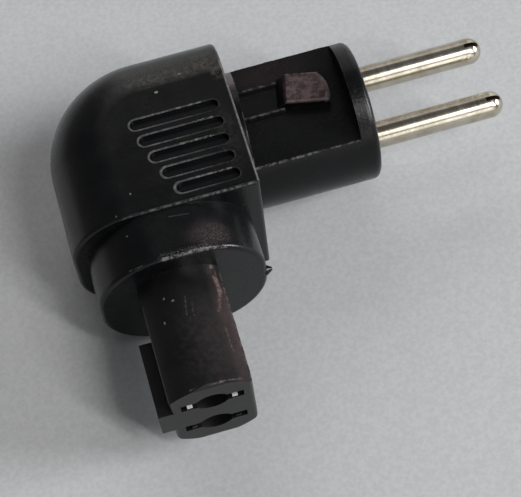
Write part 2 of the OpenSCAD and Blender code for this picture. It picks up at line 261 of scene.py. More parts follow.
class EffectGroups:
    """Builds each shared effect once, as a shader node group with named sockets."""

    # Cells of the slow tone, the blotches and the specks for each cell of the grain
    tone_share: ClassVar[float] = 0.06
    blotch_share: ClassVar[float] = 0.42
    speck_share: ClassVar[float] = 1.3
    # Noise values between which a break-up goes from nothing to full, and the levels of the even one
    blotch_span: ClassVar[Pair] = (0.4, 0.62)
    even_span: ClassVar[Pair] = (0.3, 0.65)
    even_levels: ClassVar[Pair] = (0.55, 1.0)
    speck_span: ClassVar[Pair] = (0.48, 0.66)
    # Turn of the normal between which a worn edge goes from nothing to full
    edge_span: ClassVar[Pair] = (0.02, 0.2)
    edge_samples: ClassVar[int] = 8
    # Shares of its reach between which a worn place or painted mark goes from nothing to full
    fade: ClassVar[Pair] = (1.0, 0.3)
    # Levels of a slot's rim from its end to its start, a painted highlight that grows toward the start, and
    # from a bare place to a full one
    rim_highlight_levels: ClassVar[Pair] = (0.12, 1.0)
    rim_broken: ClassVar[Pair] = (0.45, 1.0)

    def __init__(self) -> None:
        """Makes all the groups."""
        self.groups = {Effect.GRAIN: self.grain(), Effect.EDGE: self.edge(), Effect.PATCH: self.patch(),
                       Effect.SCUFF_OR_PAINTED_LINE: self.scuff_or_painted_line_group(), Effect.RIM: self.rim()}

    @staticmethod
    def start(effect: Effect, floats: list[str], vectors: list[str],
              outputs: list[str]) -> tuple[Tree, Sockets, Sockets]:
        """Starts a group with its sockets.

        Args:
            effect: The effect, whose value names the group.
            floats: Names of the number inputs.
            vectors: Names of the vector inputs.
            outputs: Names of the number outputs.

        Returns:
            The tree, its given sockets by name and its made sockets by name.
        """
        group = bpy.data.node_groups.new(effect.value, "ShaderNodeTree")
        sockets = ((floats, "INPUT", "NodeSocketFloat"), (vectors, "INPUT", "NodeSocketVector"),
                   (outputs, "OUTPUT", "NodeSocketFloat"))
        for names, side, kind in sockets:
            for name in names:
                group.interface.new_socket(name, in_out=side, socket_type=kind)
        tree = Tree(group)
        given = tree.add("NodeGroupInput").outputs
        made = tree.add("NodeGroupOutput").inputs
        return tree, {s.name: s for s in given if s.name}, {s.name: s for s in made if s.name}

    def grain(self) -> bpy.types.NodeTree:
        """Makes the grain of a surface: noises of the place give a height, a tone and three break-ups.

        Returns:
            The group.
        """
        outputs = ["Height", "Tone", "Broken", "Even", "Specks"]
        tree, given, made = self.start(Effect.GRAIN, ["Scale"], [], outputs)
        place = tree.place()
        tree.feed(made["Height"], tree.noise(place, given["Scale"]))
        tree.feed(made["Tone"], tree.noise(place, tree.times(given["Scale"], self.tone_share)))
        blotch_cells = tree.times(given["Scale"], self.blotch_share)
        coarse = tree.noise(place, blotch_cells, detail=4.0, roughness=0.7)
        tree.feed(made["Broken"], tree.span(coarse, *self.blotch_span))
        tree.feed(made["Even"], tree.span(coarse, *self.even_span, self.even_levels))
        fine = tree.noise(place, tree.times(given["Scale"], self.speck_share), detail=2.0)
        tree.feed(made["Specks"], tree.span(fine, *self.speck_span))
        return tree.tree

    def edge(self) -> bpy.types.NodeTree:
        """Makes worn sharp edges: one minus the cosine between the true and the rounded normal, broken up.

        Returns:
            The group.
        """
        tree, given, made = self.start(Effect.EDGE, ["Radius", "Broken"], [], ["Mask"])
        bevel = tree.add("ShaderNodeBevel", {"Radius": given["Radius"]}, samples=self.edge_samples)
        true = tree.add("ShaderNodeNewGeometry").outputs["True Normal"]
        cosine = tree.vector("DOT_PRODUCT", bevel.outputs[0], true).outputs["Value"]
        turn = tree.math("SUBTRACT", 1.0, cosine)
        tree.feed(made["Mask"], tree.times(tree.span(turn, *self.edge_span), given["Broken"]))
        return tree.tree

    def patch(self) -> bpy.types.NodeTree:
        """Makes a worn patch or a patch of painted sheen: full round a centre and gone at a size from it,
        broken up.

        Returns:
            The group.
        """
        tree, given, made = self.start(Effect.PATCH, ["Broken"], ["Centre", "Size"], ["Mask"])
        offset = tree.vector("SUBTRACT", tree.place(), given["Centre"]).outputs[0]
        share = tree.vector("DIVIDE", offset, given["Size"]).outputs[0]
        near = tree.span(tree.vector("LENGTH", share).outputs["Value"], *self.fade)
        tree.feed(made["Mask"], tree.times(near, given["Broken"]))
        return tree.tree

    def scuff_or_painted_line_group(self) -> bpy.types.NodeTree:
        """Makes a line of rub, dust, painted highlight, painted shade or painted glint: full up to a core
        share of the width from a line, gone at the width, broken up.

        Returns:
            The group.
        """
        tree, given, made = self.start(Effect.SCUFF_OR_PAINTED_LINE, ["Width", "Core", "Broken"], ["From", "To"], ["Mask"])
        along = tree.vector("SUBTRACT", given["To"], given["From"]).outputs[0]
        offset = tree.vector("SUBTRACT", tree.place(), given["From"]).outputs[0]
        reach = tree.vector("DOT_PRODUCT", offset, along).outputs["Value"]
        length = tree.vector("DOT_PRODUCT", along, along).outputs["Value"]
        share = tree.math("DIVIDE", reach, length, clamp=True)
        foot = tree.add("ShaderNodeVectorMath", {0: along, "Scale": share}, operation="SCALE").outputs[0]
        gap = tree.vector("DISTANCE", offset, foot).outputs["Value"]
        near = tree.span(tree.math("DIVIDE", gap, given["Width"]), self.fade[0], given["Core"])
        tree.feed(made["Mask"], tree.times(near, given["Broken"]))
        return tree.tree

    def rim(self) -> bpy.types.NodeTree:
        """Makes the rubbed lip of a long slot with a painted highlight: a band round its outline that fades
        from its start, whose lip faces the light, to its end.

        Returns:
            The group.
        """
        floats = ["Start", "End", "Row", "Half", "Width", "Level", "Broken"]
        tree, given, made = self.start(Effect.RIM, floats, [], ["Mask"])
        x, y, z = tree.add("ShaderNodeSeparateXYZ", {0: tree.place()}).outputs
        before = tree.math("SUBTRACT", given["Start"], x)
        after = tree.math("SUBTRACT", x, given["End"])
        beside = tree.math("MAXIMUM", tree.math("MAXIMUM", before, after), 0.0)
        across = tree.math("SUBTRACT", y, given["Row"])
        radius = tree.math("SQRT", tree.math("ADD", tree.times(beside, beside), tree.times(across, across)))
        gap = tree.apart(radius, given["Half"])
        near = tree.span(tree.math("DIVIDE", gap, given["Width"]), *self.fade)
        flat = tree.math("GREATER_THAN", tree.math("ABSOLUTE", z), given["Level"])
        left = tree.span(x, given["End"], given["Start"], self.rim_highlight_levels)
        worn = tree.times(left, tree.span(given["Broken"], 0.0, 1.0, self.rim_broken))
        tree.feed(made["Mask"], tree.times(tree.times(near, flat), worn))
        return tree.tree

    def put(self, tree: Tree, effect: Effect, **values: object) -> Sockets:
        """Places an effect in a material's tree.

        Args:
            tree: The material's tree.
            effect: Which effect.
            values: Socket values by name.

        Returns:
            The effect's outputs by name.
        """
        node = tree.add("ShaderNodeGroup", node_tree=self.groups[effect])
        for name, value in values.items():
            tree.feed(node.inputs[name], value)
        return {socket.name: socket for socket in node.outputs}


def metres(point: Place) -> Place:
    """Returns a place given in millimetres, in metres."""
    return tuple(v * MM for v in point)


class WearOrPaintedLight:
    """A worn or dusty place, or a painted highlight, sheen, glint or shade, on a surface, made by one of the
    shared effects.
    """

    effect: ClassVar[Effect]
    colour: Colour
    strength: float

    def values(self, grain: Sockets) -> dict[str, object]:
        """Returns the effect's socket values by name."""
        raise NotImplementedError

    def mask(self, tree: Tree, effects: EffectGroups, grain: Sockets) -> Socket:
        """Works out how strongly a place is marked.

        Args:
            tree: The material's tree.
            effects: The shared effect groups.
            grain: The outputs of the surface's grain.

        Returns:
            The mark, from 0 to its strength.
        """
        made = effects.put(tree, self.effect, **self.values(grain))
        return tree.times(made["Mask"], self.strength)


@dataclass(frozen=True)
class Patch(WearOrPaintedLight):
    """A worn patch, or a patch of painted sheen or highlight, on a moulding, in millimetres."""

    effect: ClassVar[Effect] = Effect.PATCH
    centre: Place
    size: Place
    colour: Colour
    strength: float
    look: Look = Look.BROKEN

    def values(self, grain: Sockets) -> dict[str, object]:
        """Returns the patch's place, size and break-up."""
        return {"Centre": metres(self.centre), "Size": metres(self.size), "Broken": self.look.of(grain)}


@dataclass(frozen=True)
class ScuffOrPaintedLine(WearOrPaintedLight):
    """A line that is rubbed or dusty, or a painted highlight, shade or glint, or a speck of dust where the
    line is short, in millimetres.
    """

    effect: ClassVar[Effect] = Effect.SCUFF_OR_PAINTED_LINE
    start: Place
    end: Place
    width: float
    colour: Colour
    strength: float
    look: Look = Look.BROKEN
    core: float = 0.35

    def values(self, grain: Sockets) -> dict[str, object]:
        """Returns the scuff's ends, width, core and break-up."""
        return {"From": metres(self.start), "To": metres(self.end), "Width": self.width * MM,
                "Core": self.core, "Broken": self.look.of(grain)}


@dataclass(frozen=True)
class SlotRimRubAndHighlight(WearOrPaintedLight):
    """The rubbed lip of a grip slot, with a painted highlight that grows toward its start: its round ends'
    centres, its row and half width, in millimetres.
    """

    effect: ClassVar[Effect] = Effect.RIM
    start: float
    end: float
    row: float
    half: float
    colour: Colour
    strength: float
    width: float = 0.17
    level: float = 7.02

    def values(self, grain: Sockets) -> dict[str, object]:
        """Returns the slot's ends, row and half width, the rim's width and level, and its break-up."""
        return {"Start": self.start * MM, "End": self.end * MM, "Row": self.row * MM, "Half": self.half * MM,
                "Width": self.width * MM, "Level": self.level * MM, "Broken": grain["Broken"]}


@dataclass(frozen=True)
class MouldedFinish:
    """A moulded plastic or rubber with grain, worn edges, worn places and painted highlights and sheen."""

    tone_span: ClassVar[Pair] = (0.3, 0.7)
    rough_spread: ClassVar[float] = 0.04
    grain_strength: ClassVar[float] = 0.6
    name: str
    dark: Colour
    light: Colour
    edge: Colour
    roughness: float
    specular: float
    grain_cells: float
    grain_depth: float
    edge_radius: float
    edge_strength: float
    wear_and_painted_light: tuple[WearOrPaintedLight, ...] = ()

    def make(self, effects: EffectGroups) -> bpy.types.Material:
        """Makes the material.

        Args:
            effects: The shared effect groups.

        Returns:
            The material.
        """
        tree = Tree.of_material(self.name)
        grain = effects.put(tree, Effect.GRAIN, Scale=self.grain_cells)
        colour = tree.blend(tree.span(grain["Tone"], *self.tone_span), self.dark, self.light)
        rough_levels = (self.roughness - self.rough_spread, self.roughness + self.rough_spread)
        rough = tree.span(grain["Tone"], *self.tone_span, rough_levels)
        edge = effects.put(tree, Effect.EDGE, Radius=self.edge_radius, Broken=grain["Broken"])
        colour = tree.blend(tree.times(edge["Mask"], self.edge_strength), colour, self.edge)
        for wear_and_painted_light in self.wear_and_painted_light:
            colour = tree.blend(wear_and_painted_light.mask(tree, effects, grain), colour, wear_and_painted_light.colour)
        normal = tree.bump(grain["Height"], self.grain_depth, self.grain_strength)
        shader = tree.add("ShaderNodeBsdfPrincipled",
                          {"Base Color": colour, "Roughness": rough, "Specular IOR Level": self.specular,
                           "Normal": normal})
        return tree.finish(shader)


@dataclass(frozen=True)
class MetalFinish:
    """A plated or bare metal with faint drawn lines, tarnish, and painted shade and glints."""

    grain_cells: ClassVar[float] = 9000.0
    tarnish_span: ClassVar[Pair] = (0.35, 0.75)
    line_cells: ClassVar[float] = 6000.0
    line_span: ClassVar[Pair] = (0.3, 0.7)
    line_strength: ClassVar[float] = 1.0
    smoother: ClassVar[float] = 0.04
    rougher: ClassVar[float] = 0.06
    wear_and_painted_light_roughness: ClassVar[float] = 0.4
    name: str
    bright: Colour
    tarnish: Colour
    roughness: float
    draw: Place = (0.04, 1.0, 1.0)
    line_depth: float = 1.5e-6
    wear_and_painted_light: tuple[WearOrPaintedLight, ...] = ()

    def make(self, effects: EffectGroups) -> bpy.types.Material:
        """Makes the material.

        Args:
            effects: The shared effect groups.

        Returns:
            The material.
        """
        tree = Tree.of_material(self.name)
        grain = effects.put(tree, Effect.GRAIN, Scale=self.grain_cells)
        drawn = tree.vector("MULTIPLY", tree.place(), self.draw).outputs[0]
        lines = tree.noise(drawn, self.line_cells)
        colour = tree.blend(tree.span(grain["Tone"], *self.tarnish_span), self.bright, self.tarnish)
        rough_levels = (self.roughness - self.smoother, self.roughness + self.rougher)
        rough = tree.span(lines, *self.line_span, rough_levels)
        for wear_and_painted_light in self.wear_and_painted_light:
            mask = wear_and_painted_light.mask(tree, effects, grain)
            colour = tree.blend(mask, colour, wear_and_painted_light.colour)
            rough = tree.math("ADD", rough, tree.times(mask, self.wear_and_painted_light_roughness))
        normal = tree.bump(lines, self.line_depth, self.line_strength)
        shader = tree.add("ShaderNodeBsdfPrincipled",
                          {"Base Color": colour, "Roughness": rough, "Metallic": 1.0, "Normal": normal})
        return tree.finish(shader)


# The grip slots in millimetres: X of their first round ends, X of their other ends, pitch and half width
GRIP_STARTS = (-20.06, -19.68, -19.19, -18.57, -17.83)
GRIP_END = -13.29
GRIP_PITCH = 1.78
GRIP_HALF = 0.54
# Y of the two pins, and X of the two tabs of the upper contact, in millimetres
PIN_ROWS = (3.0, -3.0)
TAB_PLACES = (-22.05, -18.25)

# Colours of rubs and dust, which also paint highlights on edges and slot lips; then the painted shade in the
# pins' notches and the painted glint on the contact tabs
GREY_RUB_AND_HIGHLIGHT = (0.13, 0.13, 0.13)
PALE_RUB_AND_HIGHLIGHT = (0.2, 0.19, 0.188)
PINK_RUB_AND_HIGHLIGHT = (0.17, 0.14, 0.135)
NUB_RUB_AND_HIGHLIGHT = (0.13, 0.105, 0.105)
DUST_AND_HIGHLIGHT = (0.32, 0.32, 0.31)
PAINTED_NOTCH_SHADE = (0.03, 0.022, 0.015)
PAINTED_GLINT = (0.9, 0.89, 0.86)

# Worn places of the elbow: its flat and collar, with a painted sheen on its far band, its edges and the lips
# of its grip slots, rubbed and with painted highlights, then specks of dust
BODY_WEAR_AND_HIGHLIGHTS = (
    Patch((-16.5, -3.56, 6.75), (9.0, 9.0, 0.2), (0.0035, 0.004, 0.005), 0.9, Look.EVEN),
    Patch((-16.4, -11.6, 6.6), (3.2, 1.8, 1.6), (0.026, 0.02, 0.021), 0.8, Look.EVEN),
    Patch((-16.2, -11.8, 6.6), (2.8, 1.4, 1.6), (0.13, 0.1, 0.1), 0.5, Look.SPECKLED),
    Patch((-16.5, 4.1, 7.1), (6.5, 1.1, 0.6), (0.055, 0.052, 0.047), 0.55),
    Patch((-12.8, 4.8, 6.8), (1.8, 1.8, 0.9), (0.055, 0.047, 0.037), 0.5),
    # Painted sheen: a lighter, speckled far band
    Patch((-17.5, 5.2, 6.7), (6.5, 1.7, 1.2), (0.075, 0.071, 0.066), 0.4, Look.SPECKLED),
    Patch((-12.8, -3.5, 7.15), (1.4, 4.6, 0.4), (0.03, 0.028, 0.027), 0.4),
    Patch((-12.0, 3.1, 7.1), (0.8, 1.1, 0.4), (0.11, 0.09, 0.085), 0.5),
    # The flat's near edge: rubbed, and a painted highlight along its rounding
    ScuffOrPaintedLine((-21.2, -8.47, 7.06), (-16.6, -8.47, 7.06), 0.15, GREY_RUB_AND_HIGHLIGHT, 0.6),
    ScuffOrPaintedLine((-16.6, -8.47, 7.06), (-11.7, -8.47, 7.06), 0.15, GREY_RUB_AND_HIGHLIGHT, 0.95),
    ScuffOrPaintedLine((-25.3, -8.4, 6.24), (-23.0, -8.44, 6.95), 0.13, GREY_RUB_AND_HIGHLIGHT, 0.4, Look.WHOLE),
    ScuffOrPaintedLine((-23.0, -8.44, 6.95), (-21.2, -8.46, 7.05), 0.12, GREY_RUB_AND_HIGHLIGHT, 0.4),
    ScuffOrPaintedLine((-19.5, -9.36, 6.85), (-17.6, -9.56, 6.85), 0.08, GREY_RUB_AND_HIGHLIGHT, 0.25, Look.EVEN),
    # The collar's front rim: rubbed, and a painted highlight along its rounding
    ScuffOrPaintedLine((-20.9, -13.05, 6.75), (-18.3, -13.05, 6.75), 0.2, PALE_RUB_AND_HIGHLIGHT, 0.95),
    ScuffOrPaintedLine((-18.3, -13.05, 6.75), (-16.6, -13.04, 6.4), 0.18, (0.17, 0.15, 0.15), 0.8),
    ScuffOrPaintedLine((-20.9, -12.9, 6.8), (-17.2, -12.9, 6.6), 0.5, PALE_RUB_AND_HIGHLIGHT, 0.45, Look.SPECKLED),
    ScuffOrPaintedLine((-16.6, -13.04, 6.4), (-15.6, -13.0, 5.9), 0.15, PINK_RUB_AND_HIGHLIGHT, 0.5),
    ScuffOrPaintedLine((-23.8, -12.9, 6.1), (-22.4, -13.0, 6.6), 0.12, GREY_RUB_AND_HIGHLIGHT, 0.4),
    # The edge at the plug's face: rubbed, and a painted highlight along its rounding
    ScuffOrPaintedLine((-11.5, 4.4, 7.05), (-11.5, -3.0, 7.05), 0.17, (0.17, 0.15, 0.147), 0.8, Look.EVEN),
    ScuffOrPaintedLine((-11.5, -3.0, 7.05), (-11.5, -8.3, 7.05), 0.17, PALE_RUB_AND_HIGHLIGHT, 0.8, Look.EVEN),
    # Slot lips: rubbed, with a painted highlight that grows toward each slot's start
    *(SlotRimRubAndHighlight(start, GRIP_END, -GRIP_PITCH * row, GRIP_HALF, GREY_RUB_AND_HIGHLIGHT, 0.95)
      for row, start in enumerate(GRIP_STARTS)),
    # Far lips of four slots: rubbed and dusty, with painted highlights
    ScuffOrPaintedLine((-18.6, 0.56, 7.13), (-14.2, 0.56, 7.13), 0.11, PALE_RUB_AND_HIGHLIGHT, 0.7),
    ScuffOrPaintedLine((-15.2, -1.22, 7.13), (-13.6, -1.22, 7.13), 0.14, DUST_AND_HIGHLIGHT, 0.7, Look.SPECKLED),
    ScuffOrPaintedLine((-16.8, -3.0, 7.13), (-14.0, -3.0, 7.13), 0.14, DUST_AND_HIGHLIGHT, 0.7, Look.SPECKLED),
    ScuffOrPaintedLine((-16.4, -6.56, 7.13), (-13.4, -6.56, 7.13), 0.12, PALE_RUB_AND_HIGHLIGHT, 0.7),
    ScuffOrPaintedLine((-17.61, 2.69, 7.15), (-17.5, 2.69, 7.15), 0.15, DUST_AND_HIGHLIGHT, 0.6, Look.WHOLE),
    ScuffOrPaintedLine((-23.66, -8.17, 7.01), (-23.66, -8.12, 7.01), 0.11, DUST_AND_HIGHLIGHT, 0.5, Look.WHOLE),
    ScuffOrPaintedLine((-22.05, -6.47, 7.15), (-22.05, -6.42, 7.15), 0.1, DUST_AND_HIGHLIGHT, 0.4, Look.WHOLE),
    ScuffOrPaintedLine((-23.29, -9.85, 6.45), (-23.25, -9.85, 6.45), 0.1, DUST_AND_HIGHLIGHT, 0.4, Look.WHOLE),
    ScuffOrPaintedLine((-15.25, 3.95, 7.1), (-15.15, 3.95, 7.1), 0.11, DUST_AND_HIGHLIGHT, 0.4, Look.WHOLE),
)
# Worn places of the plug: its flat, its rim and shoulder with painted highlights, its nub with painted
# highlights on its edges and nose, then its rails and edges, rubbed and with painted highlights
PLUG_WEAR_AND_HIGHLIGHTS = (
    Patch((-7.1, 3.9, 3.55), (5.0, 2.2, 0.6), (0.013, 0.0085, 0.0095), 0.9, Look.EVEN),
    # Painted highlight: light specks on the near rim
    Patch((-0.8, -3.2, 5.2), (1.2, 3.6, 2.2), (0.036, 0.036, 0.036), 0.7, Look.SPECKLED),
    Patch((-0.8, 3.4, 5.2), (1.2, 3.0, 2.0), (0.018, 0.016, 0.017), 0.8, Look.EVEN),
    # Painted highlight on the far shoulder, pink-tinted
    Patch((-11.0, 3.6, 5.4), (1.1, 2.4, 1.6), (0.14, 0.113, 0.113), 0.9, Look.EVEN),
    Patch((-5.0, 1.1, 4.4), (3.4, 2.4, 0.4), (0.07, 0.046, 0.049), 0.95, Look.EVEN),
    Patch((-5.0, 1.1, 4.4), (3.4, 2.4, 0.4), (0.13, 0.088, 0.093), 0.6, Look.BROKEN),
    # The nub's edges and nose: rubbed, with painted highlights on the near edge and nose
    ScuffOrPaintedLine((-6.79, -0.03, 4.38), (-3.43, -0.77, 4.38), 0.3, NUB_RUB_AND_HIGHLIGHT, 0.7, Look.EVEN),
    ScuffOrPaintedLine((-6.15, 2.85, 4.38), (-3.47, 2.26, 4.38), 0.14, PINK_RUB_AND_HIGHLIGHT, 0.5),
    ScuffOrPaintedLine((-3.47, 2.26, 4.35), (-2.75, 0.6, 4.3), 0.35, NUB_RUB_AND_HIGHLIGHT, 0.6, Look.EVEN),
    ScuffOrPaintedLine((-2.75, 0.6, 4.3), (-3.43, -0.77, 4.3), 0.35, NUB_RUB_AND_HIGHLIGHT, 0.6, Look.EVEN),
    # Rails and edges: rubbed, with painted highlights along their tops
    ScuffOrPaintedLine((-10.9, 2.675, 3.75), (-7.2, 2.675, 3.75), 0.13, GREY_RUB_AND_HIGHLIGHT, 0.5),
    ScuffOrPaintedLine((-10.9, -0.175, 3.75), (-6.9, -0.175, 3.75), 0.13, GREY_RUB_AND_HIGHLIGHT, 0.6),
    ScuffOrPaintedLine((-11.1, -5.15, 3.54), (-6.0, -5.15, 3.54), 0.17, GREY_RUB_AND_HIGHLIGHT, 0.95),
    ScuffOrPaintedLine((-6.0, -5.15, 3.54), (-1.7, -5.15, 3.54), 0.14, GREY_RUB_AND_HIGHLIGHT, 0.75),
    ScuffOrPaintedLine((-10.93, -1.0, 6.17), (-11.03, -2.9, 5.53), 0.1, GREY_RUB_AND_HIGHLIGHT, 0.6, Look.EVEN),
    ScuffOrPaintedLine((-11.03, -2.9, 5.53), (-11.12, -4.9, 3.9), 0.1, GREY_RUB_AND_HIGHLIGHT, 0.6, Look.EVEN),
)
# Worn places of the stem: its right side and top, its scratches and edges, the left edge with a painted
# highlight, then specks of dust
STEM_WEAR_AND_HIGHLIGHT = (
    Patch((-17.2, -19.5, 4.1), (1.2, 8.0, 1.1), (0.04, 0.026, 0.027), 0.75, Look.EVEN),
    Patch((-16.7, -19.0, 2.4), (0.6, 8.0, 3.2), (0.042, 0.028, 0.029), 0.75, Look.EVEN),
    Patch((-18.7, -20.5, 4.7), (2.4, 6.0, 0.9), (0.015, 0.0115, 0.0115), 0.7, Look.EVEN),
    Patch((-19.8, -20.5, 4.8), (3.4, 5.5, 1.2), (0.026, 0.0235, 0.0245), 0.4),
    ScuffOrPaintedLine((-17.2, -13.4, 4.0), (-17.1, -15.9, 3.9), 0.32, (0.17, 0.12, 0.1), 0.8),
    ScuffOrPaintedLine((-17.1, -15.9, 3.9), (-17.6, -17.6, 4.3), 0.25, (0.14, 0.095, 0.085), 0.65),
    ScuffOrPaintedLine((-17.56, -18.86, 4.22), (-17.47, -21.63, 4.15), 0.08, (0.15, 0.1, 0.095), 0.5),
    ScuffOrPaintedLine((-16.68, -14.0, 3.5), (-16.68, -23.9, 3.5), 0.12, PINK_RUB_AND_HIGHLIGHT, 0.5),
    # The left edge: rubbed, and a painted highlight along it
    ScuffOrPaintedLine((-23.62, -15.2, 3.53), (-23.62, -24.0, 3.53), 0.12, GREY_RUB_AND_HIGHLIGHT, 0.4, Look.EVEN),
    ScuffOrPaintedLine((-20.03, -15.9, 4.95), (-20.27, -17.6, 4.95), 0.09, GREY_RUB_AND_HIGHLIGHT, 0.35),
    ScuffOrPaintedLine((-19.61, -16.6, 4.93), (-19.74, -17.9, 4.93), 0.09, GREY_RUB_AND_HIGHLIGHT, 0.35),
    ScuffOrPaintedLine((-21.7, -24.0, 4.68), (-19.2, -24.05, 4.86), 0.14, GREY_RUB_AND_HIGHLIGHT, 0.5),
    ScuffOrPaintedLine((-19.2, -24.05, 4.86), (-17.4, -23.97, 4.14), 0.14, PINK_RUB_AND_HIGHLIGHT, 0.6),
    ScuffOrPaintedLine((-21.73, -15.49, 4.69), (-21.7, -15.45, 4.69), 0.12, DUST_AND_HIGHLIGHT, 0.5, Look.WHOLE),
    ScuffOrPaintedLine((-21.1, -15.93, 4.86), (-21.0, -15.93, 4.86), 0.11, DUST_AND_HIGHLIGHT, 0.5, Look.WHOLE),
    ScuffOrPaintedLine((-22.19, -17.49, 4.51), (-22.19, -17.6, 4.51), 0.11, DUST_AND_HIGHLIGHT, 0.5, Look.WHOLE),
)
# Painted shade lies inside each pin's radius, where the notch in its tip is cut
NOTCH_PAINTED_SHADE = tuple(ScuffOrPaintedLine((-17.0, y, 0.0), (10.9, y, 0.0), 1.19, PAINTED_NOTCH_SHADE, 1.0, Look.WHOLE, core=0.965)
                   for y in PIN_ROWS)
# A painted glint on the tip of each tab of the upper contact
TAB_PAINTED_GLINT = tuple(ScuffOrPaintedLine((x, -24.3, 1.7), (x, -24.0, 1.7), 0.34, PAINTED_GLINT, 1.0, Look.WHOLE, core=0.7)
                  for x in TAB_PLACES)

BODY = MouldedFinish("soft_black", dark=(0.0024, 0.0027, 0.0031), light=(0.0038, 0.0042, 0.0047),
                     edge=(0.05, 0.048, 0.046), roughness=0.25, specular=0.33, grain_cells=6500.0,
                     grain_depth=2.2e-5, edge_radius=1.2e-4, edge_strength=0.4, wear_and_painted_light=BODY_WEAR_AND_HIGHLIGHTS)
PLUG = MouldedFinish("plug_black", dark=(0.0016, 0.0019, 0.0023), light=(0.0025, 0.0028, 0.0033),
                     edge=(0.06, 0.054, 0.052), roughness=0.28, specular=0.27, grain_cells=5200.0,
                     grain_depth=3.0e-5, edge_radius=1.2e-4, edge_strength=0.5, wear_and_painted_light=PLUG_WEAR_AND_HIGHLIGHTS)
STEM = MouldedFinish("socket_black", dark=(0.0042, 0.0041, 0.0043), light=(0.0075, 0.007, 0.007),
                     edge=(0.07, 0.058, 0.053), roughness=0.34, specular=0.4, grain_cells=5200.0,
                     grain_depth=2.4e-5, edge_radius=1.2e-4, edge_strength=0.5, wear_and_painted_light=STEM_WEAR_AND_HIGHLIGHT)
NICKEL = MetalFinish("plated_pin", bright=(0.65, 0.605, 0.51), tarnish=(0.43, 0.38, 0.29), roughness=0.2,
                     draw=(1.0, 0.06, 0.06), line_depth=4.0e-6, wear_and_painted_light=NOTCH_PAINTED_SHADE)
SHEET = MetalFinish("contact_sheet", bright=(0.42, 0.38, 0.3), tarnish=(0.16, 0.135, 0.1), roughness=0.3,
                    wear_and_painted_light=TAB_PAINTED_GLINT)
COPPER = MetalFinish("copper", bright=(0.72, 0.4, 0.24), tarnish=(0.5, 0.25, 0.15), roughness=0.3)
RED_SLEEVE = MouldedFinish("insulation_red", dark=(0.5, 0.06, 0.05), light=(0.62, 0.08, 0.07),
                           edge=(0.7, 0.2, 0.18), roughness=0.4, specular=0.5, grain_cells=4000.0,
                           grain_depth=1e-5, edge_radius=1e-4, edge_strength=0.2)
BLACK_SLEEVE = MouldedFinish("insulation_black", dark=(0.02, 0.02, 0.024), light=(0.03, 0.03, 0.034),
                             edge=(0.1, 0.1, 0.1), roughness=0.4, specular=0.5, grain_cells=4000.0,
                             grain_depth=1e-5, edge_radius=1e-4, edge_strength=0.2)
NODE_FINISHES = {
    "elbow_body": BODY, "pin_insert": PLUG, "pin_far": NICKEL, "pin_near": NICKEL, "socket_insert": STEM,
    "socket_contact_upper": SHEET, "socket_contact_lower": SHEET, "wire_core_far": COPPER,
    "wire_core_near": COPPER, "wire_sleeve_far": RED_SLEEVE, "wire_sleeve_near": BLACK_SLEEVE,
}


def dress(node: bpy.types.Object, material: bpy.types.Material) -> None:
    """Gives a CAD node one finish all over."""
    node.data.materials.clear()
    node.data.materials.append(material)


def ragged(count: int, knots: int, seed: int) -> np.ndarray:
    """Returns an uneven outline: chance heights at equal knots, with straight lines between them.

    Args:
        count: Number of values.
        knots: Number of knots.
        seed: Start of the chance row.

    Returns:
        The values, from 0 to 1.
    """
    heights = np.random.default_rng(seed).random(knots)
    return np.interp(np.linspace(0.0, knots - 1.0, count), np.arange(knots), heights)


@dataclass(frozen=True)
class Skin:
    """A surface of points in millimetres, faces of four corners and end caps, each an array of rows."""

    points: np.ndarray
    quads: np.ndarray
    caps: np.ndarray

    @classmethod
    def wrap(cls, rings: np.ndarray, closed: bool) -> "Skin":
        """Joins rings of points into a skin.

        Point j of ring i makes a face with point j + 1 of that ring and with the same two points of ring
        i + 1, counted round the ring. The last ring of a closed skin joins the first, and an open skin has a
        cap on each of its two end rings.

        Args:
            rings: Points by ring and by place on the ring.
            closed: Whether the last ring joins the first.

        Returns:
            The skin.
        """
        count, around = rings.shape[:2]
        ring = np.arange(around)
        i = np.arange(count if closed else count - 1)[:, None] * around
        j = ring[None, :]
        after = (i + around) % (count * around)
        beside = (j + 1) % around
        quads = np.stack([i + j, after + j, after + beside, i + beside], axis=-1).reshape(-1, 4)
        caps = np.stack([ring[::-1], ring + (count - 1) * around])
        return cls(rings.reshape(-1, 3), quads, caps[:0] if closed else caps)

    def faces(self, first: int) -> list[list[int]]:
        """Returns all the faces, where the skin's points start at a number."""
        return (self.quads + first).tolist() + (self.caps + first).tolist()


def make_piece(name: str, skins: list[Skin], material: bpy.types.Material, slot: str) -> bpy.types.Object:
    """Makes one piece of several skins, in metres, that rides on the part.

    Args:
        name: The piece's name.
        skins: Its skins.
        material: The finish.
        slot: Not used.

    Returns:
        The piece.
    """
    starts = np.cumsum([0] + [len(skin.points) for skin in skins])
    points = np.concatenate([skin.points for skin in skins]) * MM
    faces = [face for skin, first in zip(skins, starts) for face in skin.faces(first)]
    mesh = bpy.data.meshes.new(name)
    mesh.from_pydata(points.tolist(), [], faces)
    mesh.polygons.foreach_set("use_smooth", np.ones(len(faces), dtype=bool))
    mesh.materials.append(material)
    piece = bpy.data.objects.new(name, mesh)
    bpy.context.scene.collection.objects.link(piece)
    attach(piece, ROOT)
    LOG.info("made %s with %d faces", name, len(faces))
    return piece


